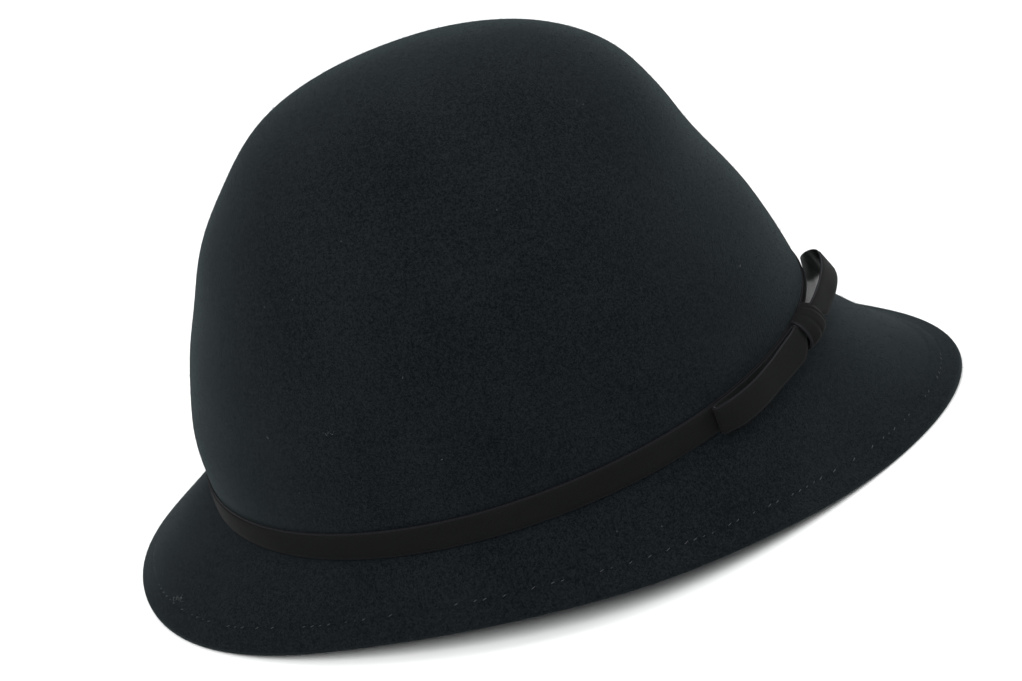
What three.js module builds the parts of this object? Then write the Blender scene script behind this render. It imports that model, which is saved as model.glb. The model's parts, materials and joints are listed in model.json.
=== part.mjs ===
// Cloche hat of wool felt, standing on its rim. Millimetres, +Z up.
// The front points along -Y and the wearer's right along -X.
// The origin is on the surface that the hat stands on, under the middle of the rim's outline.
import * as THREE from 'three';

// Felt body: crown and brim are one blocked piece
const feltThickness = 2;
const crownLength = 210; // outside of the felt, front to back, where the brim breaks away
const crownWidth = 178; // the same, side to side
const crownHeight = 127; // from the break to the top, along the crown's own axis
const crownLean = 4.3; // degrees that the crown leans back over the brim
const breakHeight = 30.9; // middle of the break above the surface
const breakFillet = 2.5; // length of the crease on the wall and on the brim
const frontDent = 4.5; // depth of the soft hollow across the front of the crown
const brimReach = 44.5; // level distance from the break to the rim at the front
const rimLift = 8; // how far the rim arches up at the sides
const restAngle = 25; // degrees to each side of front and back where the rim lies flat
const hemWidth = 11; // felt turned under at the rim
const footFlat = 0.6; // how far the round edge is pressed flat where it stands

// Ribbon round the crown
const ribbonWidth = 9.8;
const ribbonThickness = 1;
const ribbonRise = 2; // lower edge above the break
const seatGap = 0.3; // clearance between pieces that lie on each other

// Bow
const bowPlace = 37.5; // knot's middle from the front centre, measured round the break
const bowThickness = 0.9;
const rightLoopLength = 47;
const rightLoopDepth = 5.2; // outside depth of the loop at its fullest
const leftLoopLength = 31.5;
const leftLoopDepth = 7.4;
const leftLoopSpring = 2.4; // how far the loop's end stands off the crown
const leftLoopTwist = 3.6; // how much further its lower edge stands off than its upper edge
const knotWidth = 13;
const knotDepth = 8.4;
const knotOverlap = 0.6; // how far the knot stands past the ribbon above and below

// Outline of the crown. A higher shoulder keeps the wall upright for longer,
// and a higher roundness makes the turn into the top squarer.
const crownOutline = {
  front: { shoulder: 1.64, roundness: 3.12 },
  side: { shoulder: 2.76, roundness: 1.98 },
  back: { shoulder: 1.82, roundness: 2.33 },
};
const dentPlace = 0.51; // share of the crown's height
const dentSpread = 0.16;

// Brim sections at even steps from the front centre to the back centre. reach is a share of brimReach.
// hollow is how far the section sags under a straight slope, as a share of its fall; below 0 it rolls over.
const brimSections = [
  { place: 'front', reach: 1.0, hollow: 0.68 },
  { place: 'front corner', reach: 0.65, hollow: 0.55 },
  { place: 'temple', reach: 0.37, hollow: 0.41 },
  { place: 'side', reach: 0.32, hollow: 0.2 },
  { place: 'ear', reach: 0.34, hollow: -0.24 },
  { place: 'back corner', reach: 0.59, hollow: -0.46 },
  { place: 'back', reach: 0.77, hollow: -0.61 },
];

// Fineness of the faceted surfaces
const turnSteps = 64; // round the head
const crownSteps = 14;
const topCrowding = 2.1;
const breakSteps = 4;
const brimSteps = 4;
const hemSteps = 3;
const edgeSteps = 6;
const loopSteps = 36;
const knotRings = 5;
const knotSteps = 16;
const arcSteps = 720;

const degrees = Math.PI / 180;

// Smooth curve through evenly spaced rows, mirrored left and right of the head.
function roundTheHead(rows, column) {
  const last = rows.length - 1;
  const terms = rows.map((_, order) => {
    let sum = 0;
    rows.forEach((row, place) => {
      const weight = place === 0 || place === last ? 0.5 : 1;
      sum += weight * row[column] * Math.cos((Math.PI * order * place) / last);
    });
    const share = order === 0 || order === last ? 1 : 2;
    return (share * sum) / last;
  });
  return (angle) => terms.reduce((sum, term, order) => sum + term * Math.cos(order * angle), 0);
}

const reachAt = roundTheHead(brimSections, 'reach');
const hollowAt = roundTheHead(brimSections, 'hollow');

function outlineShare(outline, share) {
  const left = Math.max(1 - share ** outline.shoulder, 0);
  return left ** (1 / outline.roundness);
}

// Half axes of the crown's level section at a rise above the break.
function crownAxes(angle, rise) {
  const share = Math.min(rise / crownHeight, 1);
  const isFront = Math.cos(angle) > 0;
  const dent = frontDent * Math.exp(-(((share - dentPlace) / dentSpread) ** 2));
  const outline = isFront ? crownOutline.front : crownOutline.back;
  const length = (crownLength / 2) * outlineShare(outline, share) - (isFront ? dent : 0);
  const width = (crownWidth / 2) * outlineShare(crownOutline.side, share);
  return { length: Math.max(length, 0), width };
}

// Level direction that points straight out of the crown at an angle round the head.
function outward(angle, axes) {
  return new THREE.Vector3(
    -axes.length * Math.sin(angle),
    -axes.width * Math.cos(angle),
    0,
  ).normalize();
}

// Point on the crown, or proud of it, before the crown leans back.
function uprightPoint(angle, rise, proud = 0) {
  const axes = crownAxes(angle, rise);
  const point = new THREE.Vector3(
    -axes.width * Math.sin(angle),
    -axes.length * Math.cos(angle),
    rise,
  );
  return point.addScaledVector(outward(angle, axes), proud);
}

function leanBack(point) {
  const lean = crownLean * degrees;
  return new THREE.Vector3(
    point.x,
    point.y * Math.cos(lean) + point.z * Math.sin(lean),
    breakHeight - point.y * Math.sin(lean) + point.z * Math.cos(lean),
  );
}

function crownPoint(angle, rise, proud = 0) {
  return leanBack(uprightPoint(angle, rise, proud));
}

// Height of the rim's lowest line: level at front and back, arched at the sides.
function footHeight(angle) {
  const fromEnd = Math.asin(Math.min(Math.abs(Math.sin(angle)), 1)) / degrees;
  const share = Math.max(fromEnd - restAngle, 0) / (90 - restAngle);
  return rimLift * share * share * (3 - 2 * share);
}

// Height of the felt's upper face at the rim, for which the turned edge is pressed footFlat into the surface.
function rimHeight(angle) {
  const fall = crownPoint(angle, 0).z - footHeight(angle) - feltThickness;
  const slope = (fall * (1 - hollowAt(angle))) / (brimReach * reachAt(angle));
  const level = 1 / Math.hypot(1, slope);
  return footHeight(angle) + feltThickness * (1 + level) - footFlat;
}

function brimPoint(angle, share) {
  const start = crownPoint(angle, 0);
  const reach = brimReach * reachAt(angle) * share;
  const fall = share + hollowAt(angle) * share * (1 - share);
  const point = start.clone().addScaledVector(outward(angle, crownAxes(angle, 0)), reach);
  point.z = start.z + (rimHeight(angle) - start.z) * fall;
  return point;
}

function brimSlant(angle) {
  const start = brimPoint(angle, 0);
  return start.distanceTo(brimPoint(angle, 1));
}

// Upper face of the felt from under the top down to the rim, with the felt's thickness at each point.
function feltSection(angle) {
  const points = [];
  for (let step = 1; step <= crownSteps; step += 1) {
    const share = 1 - (step / crownSteps) ** topCrowding;
    const rise = breakFillet + (crownHeight - breakFillet) * share;
    points.push({ at: crownPoint(angle, rise), thick: feltThickness });
  }
  const slant = brimSlant(angle);
  const wall = crownPoint(angle, breakFillet);
  const corner = crownPoint(angle, 0);
  const brimStart = breakFillet / slant;
  const floor = brimPoint(angle, brimStart);
  const crease = new THREE.QuadraticBezierCurve3(wall, corner, floor);
  for (let step = 1; step <= breakSteps; step += 1) {
    points.push({ at: crease.getPoint(step / breakSteps), thick: feltThickness });
  }
  const hemStart = 1 - hemWidth / slant;
  const stepStart = hemStart - (feltThickness / 2) / slant;
  for (let step = 1; step <= brimSteps; step += 1) {
    const share = brimStart + ((stepStart - brimStart) * step) / brimSteps;
    points.push({ at: brimPoint(angle, share), thick: feltThickness });
  }
  for (let step = 0; step <= hemSteps; step += 1) {
    const share = hemStart + ((1 - hemStart) * step) / hemSteps;
    points.push({ at: brimPoint(angle, share), thick: 2 * feltThickness });
  }
  return points;
}

// Outward normals of a grid of sections, from each point's neighbours.
function gridNormals(sections, top) {
  return sections.map((section, column) => section.map((entry, row) => {
    const before = sections[(column + sections.length - 1) % sections.length][row].at;
    const after = sections[(column + 1) % sections.length][row].at;
    const above = row > 0 ? section[row - 1].at : top;
    const below = row < section.length - 1 ? section[row + 1].at : entry.at;
    const along = after.clone().sub(before);
    const down = below.clone().sub(above);
    return along.cross(down).normalize();
  }));
}

// Closed mesh from rings of equal length. A single point at either end closes it as a pole.
function ringsToGeometry(rings, isLoop) {
  const positions = [];
  const firsts = [];
  rings.forEach((ring) => {
    firsts.push(positions.length / 3);
    ring.forEach((point) => positions.push(point.x, point.y, point.z));
  });
  const faces = [];
  const joins = isLoop ? rings.length : rings.length - 1;
  for (let ring = 0; ring < joins; ring += 1) {
    const next = (ring + 1) % rings.length;
    const count = Math.max(rings[ring].length, rings[next].length);
    for (let step = 0; step < count; step += 1) {
      const after = (step + 1) % count;
      const a = firsts[ring] + (rings[ring].length > 1 ? step : 0);
      const b = firsts[ring] + (rings[ring].length > 1 ? after : 0);
      const c = firsts[next] + (rings[next].length > 1 ? step : 0);
      const d = firsts[next] + (rings[next].length > 1 ? after : 0);
      if (a !== b) faces.push(a, c, b);
      if (c !== d) faces.push(b, c, d);
    }
  }
  const geometry = new THREE.BufferGeometry();
  geometry.setAttribute('position', new THREE.Float32BufferAttribute(positions, 3));
  geometry.setIndex(faces);
  return faceOutward(geometry);
}

// Turns the triangles round where the mesh encloses a negative volume.
function faceOutward(geometry) {
  const at = geometry.getAttribute('position');
  const faces = geometry.getIndex().array;
  const corners = [0, 1, 2].map(() => new THREE.Vector3());
  let volume = 0;
  for (let face = 0; face < faces.length; face += 3) {
    corners.forEach((corner, turn) => corner.fromBufferAttribute(at, faces[face + turn]));
    volume += corners[0].dot(corners[1].clone().cross(corners[2]));
  }
  if (volume < 0) {
    for (let face = 0; face < faces.length; face += 3) {
      [faces[face + 1], faces[face + 2]] = [faces[face + 2], faces[face + 1]];
    }
  }
  geometry.computeVertexNormals();
  return geometry;
}

function turnAngle(step) {
  return (2 * Math.PI * step) / turnSteps;
}

function feltGeometry() {
  const top = crownPoint(0, crownHeight);
  const sections = [];
  for (let step = 0; step < turnSteps; step += 1) {
    sections.push(feltSection(turnAngle(step)));
  }
  const normals = gridNormals(sections, top);
  const rows = sections[0].length;
  const rim = rows - 1;
  const rings = [[top]];
  for (let row = 0; row < rows; row += 1) {
    rings.push(sections.map((section) => section[row].at));
  }
  // The turned edge is half a circle round the middle of the doubled felt
  for (let step = 1; step <= edgeSteps; step += 1) {
    const turn = (Math.PI * step) / edgeSteps;
    rings.push(sections.map((section, column) => {
      const normal = normals[column][rim];
      const past = section[rim].at.clone().sub(section[rim - 1].at).normalize();
      const middle = section[rim].at.clone().addScaledVector(normal, -feltThickness);
      const point = middle
        .addScaledVector(normal, feltThickness * Math.cos(turn))
        .addScaledVector(past, feltThickness * Math.sin(turn));
      point.z = Math.max(point.z, footHeight(turnAngle(column)));
      return point;
    }));
  }
  for (let row = rim - 1; row >= 0; row -= 1) {
    rings.push(sections.map((section, column) => {
      const entry = section[row];
      return entry.at.clone().addScaledVector(normals[column][row], -entry.thick);
    }));
  }
  const underTop = leanBack(new THREE.Vector3(0, 0, crownHeight - feltThickness));
  rings.push([underTop]);
  return ringsToGeometry(rings, false);
}

// Round the head, a flat strip that lies on the crown's wall.
const ribbonFace = seatGap + ribbonThickness;
const ribbonTop = ribbonRise + ribbonWidth;

function ribbonGeometry() {
  const corners = [
    [ribbonRise, seatGap],
    [ribbonRise, ribbonFace],
    [ribbonTop, ribbonFace],
    [ribbonTop, seatGap],
  ];
  const rings = [];
  for (let step = 0; step < turnSteps; step += 1) {
    rings.push(corners.map(([rise, proud]) => crownPoint(turnAngle(step), rise, proud)));
  }
  return ringsToGeometry(rings, true);
}

// Angle round the head at a distance along the break from the front centre, positive to the wearer's right.
function angleAtArc(arc) {
  let travelled = 0;
  let angle = 0;
  const turn = (Math.sign(arc) * 2 * Math.PI) / arcSteps;
  while (travelled < Math.abs(arc)) {
    const stride = uprightPoint(angle, 0).distanceTo(uprightPoint(angle + turn, 0));
    const share = Math.min((Math.abs(arc) - travelled) / stride, 1);
    angle += turn * share;
    travelled += stride;
  }
  return angle;
}

function bowPoint(arc, rise, proud) {
  return crownPoint(angleAtArc(bowPlace + arc), rise, ribbonFace + seatGap + proud);
}

// Outside depth of a loop: narrow at the knot, fullest three quarters of the way out.
const loopNeck = 0.45;
const loopFullest = 0.75;

function loopSwell(share) {
  return loopNeck + (1 - loopNeck) * Math.sin((Math.PI * share) / (2 * loopFullest)) ** 2;
}

// A loop is a strip that runs out along the ribbon, turns at its end fold and comes back over itself.
function loopGeometry({ side, length, depth, spring, twist }) {
  const start = knotWidth / 2 + seatGap;
  const rings = [];
  for (let step = 0; step < loopSteps; step += 1) {
    const turn = (2 * Math.PI * step) / loopSteps;
    const blunt = Math.sign(Math.sin(turn)) * Math.abs(Math.sin(turn)) ** 0.5;
    const place = (inset, rise) => {
      const along = inset + ((length - 2 * inset) * (1 - Math.cos(turn))) / 2;
      const share = along / length;
      const half = (depth / 2) * loopSwell(share);
      const tilt = twist * (0.5 - (rise - ribbonRise) / ribbonWidth);
      const proud = half + (half - inset) * blunt + (spring + tilt) * share ** 2;
      return bowPoint(side * (start + along), rise, proud);
    };
    rings.push([
      place(0, ribbonRise),
      place(0, ribbonTop),
      place(bowThickness, ribbonTop),
      place(bowThickness, ribbonRise),
    ]);
  }
  return ringsToGeometry(rings, true);
}

const rightLoop = { side: 1, length: rightLoopLength, depth: rightLoopDepth, spring: 0, twist: 0 };
const leftLoop = {
  side: -1,
  length: leftLoopLength,
  depth: leftLoopDepth,
  spring: leftLoopSpring,
  twist: leftLoopTwist,
};

// The knot is a short pad of ribbon drawn round the middle of the bow.
function knotGeometry() {
  const low = ribbonRise - knotOverlap;
  const high = ribbonTop + knotOverlap;
  const middle = bowPoint.bind(null, 0);
  const rings = [[middle(low, knotDepth / 2)]];
  for (let ring = 0; ring < knotRings; ring += 1) {
    const height = (ring + 0.5) / knotRings;
    const fullness = Math.sin(Math.PI * height) ** 0.3;
    const section = [];
    for (let step = 0; step < knotSteps; step += 1) {
      const turn = (2 * Math.PI * step) / knotSteps;
      const across = Math.sign(Math.cos(turn)) * Math.abs(Math.cos(turn)) ** 0.6;
      const deep = Math.sign(Math.sin(turn)) * Math.abs(Math.sin(turn)) ** 0.6;
      section.push(bowPoint(
        (knotWidth / 2) * across * fullness,
        low + (high - low) * height,
        (knotDepth / 2) * (1 + deep * fullness),
      ));
    }
    rings.push(section);
  }
  rings.push([middle(high, knotDepth / 2)]);
  return ringsToGeometry(rings, false);
}

// Each piece has its own material
function cloth(name, color, roughness) {
  return new THREE.MeshStandardMaterial({ name, color, roughness, metalness: 0 });
}

function piece(name, geometry, material) {
  const mesh = new THREE.Mesh(geometry, material);
  mesh.name = name;
  return mesh;
}

const feltColor = 0x1c2226;
const velvetColor = 0x161615;

const hat = new THREE.Group();
hat.add(
  piece('felt_body', feltGeometry(), cloth('felt', feltColor, 0.95)),
  piece('ribbon_band', ribbonGeometry(), cloth('ribbon', velvetColor, 0.85)),
  piece('bow_loop_right', loopGeometry(rightLoop), cloth('loop_right', velvetColor, 0.8)),
  piece('bow_loop_left', loopGeometry(leftLoop), cloth('loop_left', velvetColor, 0.8)),
  piece('bow_knot', knotGeometry(), cloth('knot', velvetColor, 0.85)),
);

// The rim's outline is centred over the origin
const outline = new THREE.Box3().setFromObject(hat);
hat.position.y = -(outline.min.y + outline.max.y) / 2;
hat.position.x = -(outline.min.x + outline.max.x) / 2;

export default hat;
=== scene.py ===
"""Cloche hat of blue-black wool felt with a narrow velvet ribbon and a flat tailored bow.

Metres, +Z up. The front of the hat points along -Y and the wearer's right along -X. The hat stands on
its rim on a pale surface. Its shell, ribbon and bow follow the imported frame. What the frame doesn't
give is a field of the classes below.
"""
import json
import logging
import math
from dataclasses import dataclass, field
from enum import Enum
from typing import Callable, Iterable, Sequence

import bmesh
import bpy
import numpy as np
from mathutils import Matrix, Vector
from mathutils.bvhtree import BVHTree
from mathutils.kdtree import KDTree

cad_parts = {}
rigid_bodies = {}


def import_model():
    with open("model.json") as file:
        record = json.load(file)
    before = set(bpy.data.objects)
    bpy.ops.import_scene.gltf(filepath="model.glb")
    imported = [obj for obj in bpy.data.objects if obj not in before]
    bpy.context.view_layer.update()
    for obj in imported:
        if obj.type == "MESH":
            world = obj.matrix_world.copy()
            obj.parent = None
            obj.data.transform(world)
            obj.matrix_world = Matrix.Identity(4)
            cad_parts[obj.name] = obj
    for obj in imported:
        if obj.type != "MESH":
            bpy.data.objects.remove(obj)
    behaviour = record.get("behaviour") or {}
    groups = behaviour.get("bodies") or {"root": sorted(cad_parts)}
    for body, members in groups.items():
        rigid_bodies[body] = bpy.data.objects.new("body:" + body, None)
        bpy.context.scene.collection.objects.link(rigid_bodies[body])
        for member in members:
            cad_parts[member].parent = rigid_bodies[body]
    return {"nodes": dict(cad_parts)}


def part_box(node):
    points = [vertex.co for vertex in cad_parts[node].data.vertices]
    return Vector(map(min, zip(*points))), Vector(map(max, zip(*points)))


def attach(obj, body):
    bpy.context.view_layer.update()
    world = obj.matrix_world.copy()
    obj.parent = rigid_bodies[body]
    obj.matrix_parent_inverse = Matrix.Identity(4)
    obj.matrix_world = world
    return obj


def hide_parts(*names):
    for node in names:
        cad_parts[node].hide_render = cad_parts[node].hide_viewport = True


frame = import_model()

LOG = logging.getLogger("cloche")
MM = 0.001
BODY = "root"
Colour = tuple[float, float, float]
Row = tuple[float, ...]


class Slot(Enum):
    """Material slots named in the record."""

    FELT = "felt"
    RIBBON = "velvet_ribbon"
    BOW = "bow_ribbon"


# Scene helpers


def activate(piece: bpy.types.Object) -> None:
    """Selects one object alone and makes it the active one.

    Args:
        piece: The object that the next operators act on.
    """
    for other in bpy.context.view_layer.objects:
        other.select_set(False)
    piece.select_set(True)
    bpy.context.view_layer.objects.active = piece


def apply_modifiers(piece: bpy.types.Object) -> None:
    """Applies every modifier of a piece, in order.

    Args:
        piece: The object whose modifiers become mesh.
    """
    activate(piece)
    for modifier in list(piece.modifiers):
        bpy.ops.object.modifier_apply(modifier=modifier.name)


def add_subdivision(piece: bpy.types.Object, levels: int) -> None:
    """Refines a piece with a subdivision surface and applies it.

    Args:
        piece: The object to refine.
        levels: How many times each face is split.
    """
    surface = piece.modifiers.new("surface", "SUBSURF")
    surface.levels = levels
    surface.render_levels = levels
    apply_modifiers(piece)


def refine_through(piece: bpy.types.Object, levels: int, rounds: int = 2) -> None:
    """Refines a closed surface that goes on passing through its own points.

    Args:
        piece: The object to refine.
        levels: How many times each face is split.
        rounds: How often the cage is let out to make up for the smoothing.
    """
    mesh = piece.data
    count = len(mesh.vertices)
    wanted = np.empty(count * 3)
    mesh.vertices.foreach_get("co", wanted)
    cage = wanted.copy()
    surface = piece.modifiers.new("surface", "SUBSURF")
    surface.levels = 1
    for _ in range(rounds):
        mesh.vertices.foreach_set("co", cage)
        mesh.update()
        seen = piece.evaluated_get(bpy.context.evaluated_depsgraph_get()).data
        reached = np.empty(len(seen.vertices) * 3)
        seen.vertices.foreach_get("co", reached)
        cage += wanted - reached[: count * 3]
    mesh.vertices.foreach_set("co", cage)
    mesh.update()
    surface.levels = levels
    apply_modifiers(piece)


def shade_smooth(piece: bpy.types.Object, angle: float = 60) -> None:
    """Shades a piece smooth, with hard edges kept where it turns sharply.

    Args:
        piece: The object to shade.
        angle: Degrees between two faces past which their edge stays hard.
    """
    activate(piece)
    bpy.ops.object.shade_smooth_by_angle(angle=math.radians(angle))


def object_from(
    name: str, points: Sequence[Sequence[float]], faces: Sequence[Sequence[int]]
) -> bpy.types.Object:
    """Makes an object at the origin from points and faces.

    Args:
        name: The object's name.
        points: Its points, in metres.
        faces: The points of each face.

    Returns:
        The new object, with its faces pointing out.
    """
    mesh = bpy.data.meshes.new(name)
    mesh.from_pydata([tuple(point) for point in points], [], [tuple(face) for face in faces])
    mesh.update()
    piece = bpy.data.objects.new(name, mesh)
    bpy.context.scene.collection.objects.link(piece)
    activate(piece)
    bpy.ops.object.mode_set(mode="EDIT")
    bpy.ops.mesh.select_all(action="SELECT")
    bpy.ops.mesh.normals_make_consistent(inside=False)
    bpy.ops.object.mode_set(mode="OBJECT")
    return piece


def copy_of_node(name: str, node: str) -> bpy.types.Object:
    """Copies a frame node's solid and joins its loose triangles into a surface of quads.

    Args:
        name: The copy's name.
        node: The node that is copied.

    Returns:
        The copy, at the origin.
    """
    piece = bpy.data.objects.new(name, frame["nodes"][node].data.copy())
    piece.data.name = name
    piece.data.materials.clear()
    bpy.context.scene.collection.objects.link(piece)
    activate(piece)
    bpy.ops.object.mode_set(mode="EDIT")
    bpy.ops.mesh.select_all(action="SELECT")
    bpy.ops.mesh.remove_doubles(threshold=0.01 * MM)
    quad_angle = math.radians(70)
    bpy.ops.mesh.tris_convert_to_quads(face_threshold=quad_angle, shape_threshold=quad_angle)
    bpy.ops.mesh.customdata_custom_splitnormals_clear()
    bpy.ops.object.mode_set(mode="OBJECT")
    return piece


def set_attribute(piece: bpy.types.Object, name: str, values: Iterable[float]) -> None:
    """Stores one number for each point of a mesh.

    Args:
        piece: The object that gets the attribute.
        name: The attribute's name, which its material reads.
        values: One number for each point.
    """
    layer = piece.data.attributes.new(name, "FLOAT", "POINT")
    layer.data.foreach_set("value", np.asarray(list(values), dtype=np.float32))


def smooth_step(share: float) -> float:
    """Eases a share from 0 to 1, level at both ends."""
    held = min(max(share, 0.0), 1.0)
    return held * held * (3 - 2 * held)


def along_rows(rows: Sequence[Row], place: float, column: int) -> float:
    """Reads a smooth curve through a short table, whose first column is the place.

    Args:
        rows: The table, in order of place.
        place: Where the curve is read.
        column: Which column is read.

    Returns:
        The curve's value.
    """
    if place <= rows[0][0]:
        return rows[0][column]
    for index in range(len(rows) - 1):
        here, there = rows[index], rows[index + 1]
        if place <= there[0]:
            before = rows[max(index - 1, 0)]
            after = rows[min(index + 2, len(rows) - 1)]
            width = there[0] - here[0]
            share = (place - here[0]) / width
            rise_here = (there[column] - before[column]) / max(there[0] - before[0], 1e-9) * width
            rise_there = (after[column] - here[column]) / max(after[0] - here[0], 1e-9) * width
            square, cube = share * share, share**3
            return (
                (2 * cube - 3 * square + 1) * here[column]
                + (cube - 2 * square + share) * rise_here
                + (3 * square - 2 * cube) * there[column]
                + (cube - square) * rise_there
            )
    return rows[-1][column]


# Shader helpers


class NodeSheet:
    """Adds and links the nodes of one node tree."""

    def __init__(self, tree: bpy.types.NodeTree) -> None:
        """Starts on a node tree."""
        self.tree = tree

    def add(self, kind: str, settings: dict | None = None, **inputs: object) -> bpy.types.Node:
        """Adds a node.

        Args:
            kind: The node's type.
            settings: Its properties by name.
            **inputs: Its inputs by name, with _ for a space. A socket is linked, a value is set.

        Returns:
            The new node.
        """
        node = self.tree.nodes.new(kind)
        for name, value in (settings or {}).items():
            setattr(node, name, value)
        for name, value in inputs.items():
            self.feed(node.inputs[name.replace("_", " ")], value)
        return node

    def feed(self, socket: bpy.types.NodeSocket, value: object) -> None:
        """Links a socket to an input, or sets the input's value.

        Args:
            socket: The input.
            value: A socket to link from, or a value.
        """
        if isinstance(value, bpy.types.NodeSocket):
            self.tree.links.new(value, socket)
        elif isinstance(value, tuple) and socket.type == "RGBA" and len(value) == 3:
            socket.default_value = (*value, 1.0)
        else:
            socket.default_value = value

    def maths(self, operation: str, *values: object) -> bpy.types.NodeSocket:
        """Adds a Math node.

        Args:
            operation: What it works out.
            *values: Its inputs in order.

        Returns:
            Its result.
        """
        node = self.tree.nodes.new("ShaderNodeMath")
        node.operation = operation
        for socket, value in zip(node.inputs, values):
            self.feed(socket, value)
        return node.outputs[0]

    def mix(self, factor: object, first: object, second: object) -> bpy.types.NodeSocket:
        """Mixes two colours.

        Args:
            factor: Share of the second colour.
            first: The first colour.
            second: The second colour.

        Returns:
            The mixed colour.
        """
        node = self.tree.nodes.new("ShaderNodeMix")
        node.data_type = "RGBA"
        for name, value in (("Factor_Float", factor), ("A_Color", first), ("B_Color", second)):
            self.feed(next(s for s in node.inputs if s.identifier == name), value)
        return next(s for s in node.outputs if s.identifier == "Result_Color")

    def noise(
        self, vector: object, size: float, detail: float = 3.0, roughness: float = 0.55, warp: float = 0.0
    ) -> bpy.types.NodeSocket:
        """Adds a Noise Texture.

        Args:
            vector: The coordinates it reads.
            size: Size of its grains in metres.
            detail: How many finer layers it has.
            roughness: Strength of the finer layers.
            warp: How far the grains are pulled out of shape.

        Returns:
            Its value.
        """
        node = self.add("ShaderNodeTexNoise", Vector=vector, Scale=1 / size)
        node.inputs["Detail"].default_value = detail
        node.inputs["Roughness"].default_value = roughness
        node.inputs["Distortion"].default_value = warp
        return node.outputs[0]

    def spread(self, value: object, low: float, high: float) -> bpy.types.NodeSocket:
        """Stretches a range of values over 0 to 1.

        Args:
            value: What is stretched.
            low: The value that becomes 0.
            high: The value that becomes 1.

        Returns:
            The stretched value, held within 0 and 1.
        """
        node = self.add("ShaderNodeMapRange", {"clamp": True}, Value=value, From_Min=low, From_Max=high)
        return node.outputs[0]

    def group(self, tree: bpy.types.ShaderNodeTree, **inputs: object) -> bpy.types.Node:
        """Places a node group.

        Args:
            tree: The group.
            **inputs: Its inputs by name. A socket is linked, a value is set.

        Returns:
            The group's node.
        """
        return self.add("ShaderNodeGroup", {"node_tree": tree}, **inputs)

    def bump(self, height: object, strength: float) -> bpy.types.NodeSocket:
        """Turns a height in metres into relief.

        Args:
            height: The height.
            strength: Share of the relief that shows.

        Returns:
            The surface's direction.
        """
        node = self.add("ShaderNodeBump", Height=height, Strength=strength, Distance=1.0)
        return node.outputs["Normal"]


def new_group(name: str, inputs: dict[str, tuple], outputs: dict[str, str]) -> tuple[NodeSheet, dict, dict]:
    """Starts a shader node group.

    Args:
        name: The group's name.
        inputs: Socket type and start value for each input.
        outputs: Socket type for each output.

    Returns:
        The group's node sheet, its inputs and its outputs, by name.
    """
    group = bpy.data.node_groups.new(name, "ShaderNodeTree")
    for label, (kind, start) in inputs.items():
        socket = group.interface.new_socket(label, in_out="INPUT", socket_type=kind)
        if start is not None:
            socket.default_value = start
    for label, kind in outputs.items():
        group.interface.new_socket(label, in_out="OUTPUT", socket_type=kind)
    sheet = NodeSheet(group)
    entry = group.nodes.new("NodeGroupInput")
    leave = group.nodes.new("NodeGroupOutput")
    return sheet, {s.name: s for s in entry.outputs}, {s.name: s for s in leave.inputs}


def fibre_group() -> bpy.types.ShaderNodeTree:
    """Builds the group for matted fibre: cloudy tone and a fine matted relief.

    Returns:
        The group, with Vector, Grain, Dark and Light, and Color and Height out.
    """
    sheet, give, take = new_group(
        "matted fibre",
        {
            "Vector": ("NodeSocketVector", None),
            "Grain": ("NodeSocketFloat", 1.0),
            "Dark": ("NodeSocketColor", (0.01, 0.01, 0.01, 1)),
            "Light": ("NodeSocketColor", (0.02, 0.02, 0.02, 1)),
        },
        {"Color": "NodeSocketColor", "Height": "NodeSocketFloat"},
    )
    scaling = {"operation": "SCALE"}
    at = sheet.add("ShaderNodeVectorMath", scaling, Vector=give["Vector"], Scale=give["Grain"]).outputs[0]
    cloud = sheet.noise(at, 30 * MM, 1)
    mottle = sheet.noise(at, 1.5 * MM, 2, 0.6)
    fine = sheet.noise(at, 0.62 * MM, 3, 0.75)
    hair = sheet.noise(at, 0.42 * MM, 5, 0.75, 1.6)
    tone = sheet.maths("MULTIPLY", cloud, 0.10)
    tone = sheet.maths("MULTIPLY_ADD", mottle, 0.20, tone)
    tone = sheet.maths("MULTIPLY_ADD", fine, 0.70, tone)
    sheet.feed(take["Color"], sheet.mix(sheet.spread(tone, 0.40, 0.60), give["Dark"], give["Light"]))
    relief = sheet.maths("MULTIPLY", mottle, 0.20)
    relief = sheet.maths("MULTIPLY_ADD", fine, 0.70, relief)
    sheet.feed(take["Height"], sheet.maths("MULTIPLY_ADD", hair, 0.45, relief))
    return sheet.tree


def weave_group() -> bpy.types.ShaderNodeTree:
    """Builds the group for a fine ribbed weave on a strip's own map, in metres, with painted shade between
    the ribs.

    Returns:
        The group, with Vector, Pitch, Dark and Light, and Color and Height out.
    """
    sheet, give, take = new_group(
        "ribbed weave",
        {
            "Vector": ("NodeSocketVector", None),
            "Pitch": ("NodeSocketFloat", 0.4 * MM),
            "Dark": ("NodeSocketColor", (0.01, 0.01, 0.01, 1)),
            "Light": ("NodeSocketColor", (0.02, 0.02, 0.02, 1)),
        },
        {"Color": "NodeSocketColor", "Height": "NodeSocketFloat"},
    )
    parts = sheet.add("ShaderNodeSeparateXYZ", Vector=give["Vector"])
    turns = sheet.maths("DIVIDE", 2 * math.pi, give["Pitch"])
    rib = sheet.maths("SINE", sheet.maths("MULTIPLY", parts.outputs["X"], turns))
    thread = sheet.maths("SINE", sheet.maths("MULTIPLY", parts.outputs["Y"], turns))
    height = sheet.maths("MULTIPLY_ADD", rib, 0.35, 0.5)
    height = sheet.maths("MULTIPLY_ADD", thread, 0.15, height)
    uneven = sheet.noise(give["Vector"], 1.2 * MM, 3, 0.6)
    # Colour: random unevenness of tone, plus painted shade that darkens the valleys between the ribs.
    shade = sheet.maths("MULTIPLY_ADD", uneven, 0.6, sheet.maths("MULTIPLY", height, 0.4))
    sheet.feed(take["Color"], sheet.mix(shade, give["Dark"], give["Light"]))
    sheet.feed(take["Height"], height)
    return sheet.tree


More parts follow.
